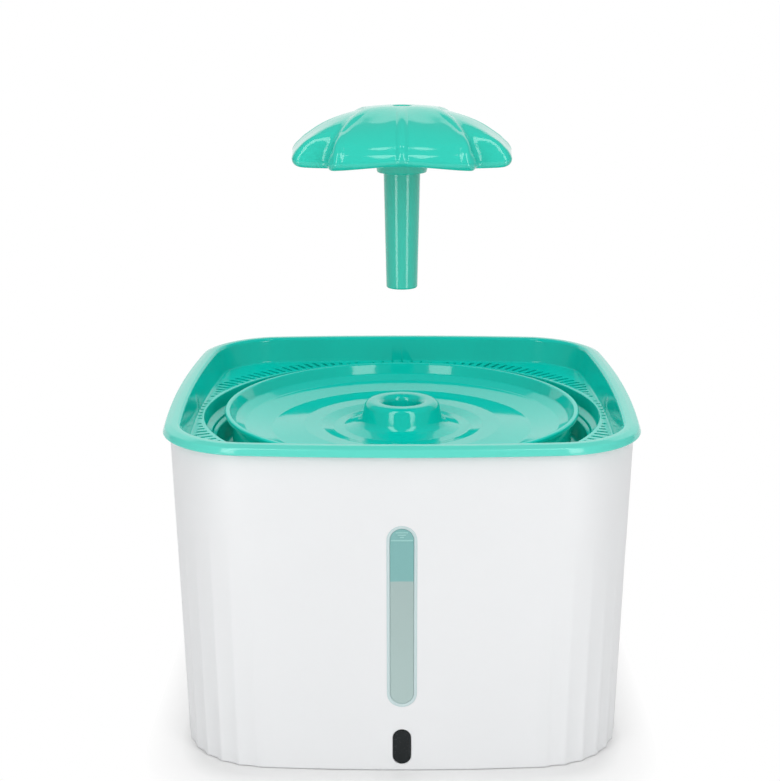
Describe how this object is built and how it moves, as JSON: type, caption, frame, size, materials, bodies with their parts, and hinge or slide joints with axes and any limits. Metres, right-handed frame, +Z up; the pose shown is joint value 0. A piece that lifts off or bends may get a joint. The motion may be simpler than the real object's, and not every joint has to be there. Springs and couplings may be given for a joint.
{
  "type": "pet water fountain",
  "caption": "Free-standing pet drinking fountain: square tank with a level window, slotted drip tray, round drinking dish and a lift-out flower spout.",
  "frame": {"origin": "on the table, under the centre of the tank", "axes": "+Z up, front with the level window towards -Y, +X to the right seen from the front"},
  "size_m": [0.21, 0.21, 0.2749],
  "materials": {
    "tank_white": "moulded, satin",
    "rubber": "matt",
    "seal_white": "satin",
    "frosted_window": "frosted",
    "badge_dark": "gloss",
    "mint_tray": "moulded, gloss",
    "mint_dish": "moulded, gloss",
    "mint_spout": "moulded, gloss",
    "frame_white": "moulded",
    "foam": "open-cell foam",
    "carbon": "loose granules",
    "fleece": "needle felt",
    "silicone": "translucent silicone",
    "riser_white": "moulded",
    "pump_black": "moulded, satin",
    "core_iron": "laminated",
    "copper": "enamelled wire",
    "resin": "cast",
    "steel": "ground",
    "impeller_blue": "moulded",
    "magnet": "sintered",
    "sponge": "open-cell foam",
    "dial_grey": "moulded"
  },
  "bodies": {
    "tank": {"tank": "tank_white", "level_window": "frosted_window", "window_seal": "seal_white", "badge": "badge_dark", "foot_pads": "rubber", "cable_grommet": "rubber", "pump_housing": "pump_black", "stator_core": "core_iron", "stator_coil": "copper", "potting": "resin", "volute_cover": "pump_black", "shaft_bushes": "rubber", "impeller_shaft": "steel", "suction_cups": "rubber", "cable_gland": "rubber", "riser_tube": "riser_white", "riser_seal": "silicone"},
    "tray": {"tray": "mint_tray"},
    "filter": {"filter_frame": "frame_white", "filter_grid": "frame_white", "filter_foam": "foam", "filter_carbon": "carbon", "filter_fleece": "fleece"},
    "dish": {"dish": "mint_dish", "dish_seal": "silicone"},
    "spout": {"flower_cap": "mint_spout", "spout_stem": "mint_spout"},
    "impeller": {"impeller": "impeller_blue", "rotor_magnet": "magnet"},
    "pump_cover": {"pump_cover": "pump_black", "pump_sponge": "sponge"},
    "flow_dial": {"flow_dial": "dial_grey"}
  },
  "joints": [
    {"name": "tray_lift", "type": "slide", "parent": "tank", "child": "tray", "axis": [0, 0, 1], "range_m": [0, 0.12]},
    {"name": "filter_lift", "type": "slide", "parent": "tray", "child": "filter", "axis": [0, 0, 1], "range_m": [0, 0.06]},
    {"name": "dish_lift", "type": "slide", "parent": "filter", "child": "dish", "axis": [0, 0, 1], "range_m": [0, 0.06]},
    {"name": "spout_lift", "type": "slide", "parent": "dish", "child": "spout", "axis": [0, 0, 1], "range_m": [-0.1067, 0]},
    {"name": "impeller_spin", "type": "hinge", "parent": "tank", "child": "impeller", "pos_m": [0, 0, 0.033], "axis": [0, 1, 0], "continuous": true},
    {"name": "cover_pull", "type": "slide", "parent": "tank", "child": "pump_cover", "axis": [0, -1, 0], "range_m": [0, 0.025]},
    {"name": "dial_turn", "type": "hinge", "parent": "pump_cover", "child": "flow_dial", "pos_m": [0, -0.0215, 0.033], "axis": [0, 1, 0], "range_deg": [0, 90]}
  ]
}
